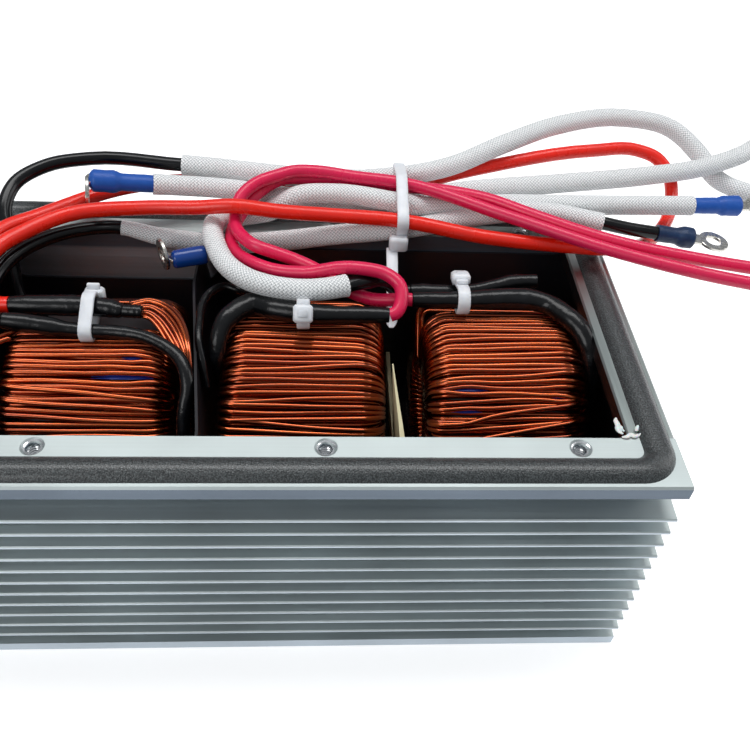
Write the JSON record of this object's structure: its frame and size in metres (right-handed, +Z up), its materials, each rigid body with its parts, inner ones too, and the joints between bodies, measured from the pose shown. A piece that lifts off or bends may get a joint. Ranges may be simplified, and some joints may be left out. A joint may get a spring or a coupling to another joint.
{
  "type": "power inductor",
  "caption": "Potted toroidal power inductors in an open finned aluminium case with a rim gasket, spliced and tied flying leads ending in ring terminals.",
  "frame": {"origin": "on the floor under the middle of the case", "axes": "+X along the case to its right end, +Y to the rear, +Z up"},
  "size_m": [0.3268, 0.1684, 0.1054],
  "materials": {
    "housing": "satin extruded",
    "gasket": "closed-cell foam",
    "silicone": "cured sealant",
    "potting": "cast resin",
    "liner": "insulating sheet",
    "board": "insulating board",
    "ferrite": "powder core",
    "copper": "enamelled copper wire",
    "shrink": "heat-shrink tube",
    "nylon": "natural nylon",
    "red_silicone": "silicone insulation",
    "crimson_silicone": "silicone insulation",
    "braid": "braided glass sleeve",
    "terminal": "shrink-covered tinned terminal"
  },
  "bodies": {
    "root": {"base_plate": "housing", "front_wall": "housing", "rear_wall": "housing", "left_end_plate": "housing", "right_end_plate": "housing", "rim_gasket": "gasket", "corner_sealant": "silicone", "potting_bed": "potting", "front_liner": "liner", "rear_liner": "liner", "divider_left": "liner", "divider_right": "board", "core_1": "ferrite", "core_2": "ferrite", "core_3": "ferrite", "winding_1": "copper", "winding_2": "copper", "winding_3": "copper", "splice_sleeves_1": "shrink", "splice_sleeves_2": "shrink", "splice_sleeves_3": "shrink", "coil_tie_1": "nylon", "coil_tie_2": "nylon", "coil_tie_3": "nylon", "bundle_tie": "nylon", "red_lead": "red_silicone", "crimson_lead_1": "crimson_silicone", "crimson_lead_2": "crimson_silicone", "black_lead_1": "braid", "black_lead_2": "braid", "white_lead": "braid", "terminals_left": "terminal", "terminals_right": "terminal"}
  },
  "joints": []
}
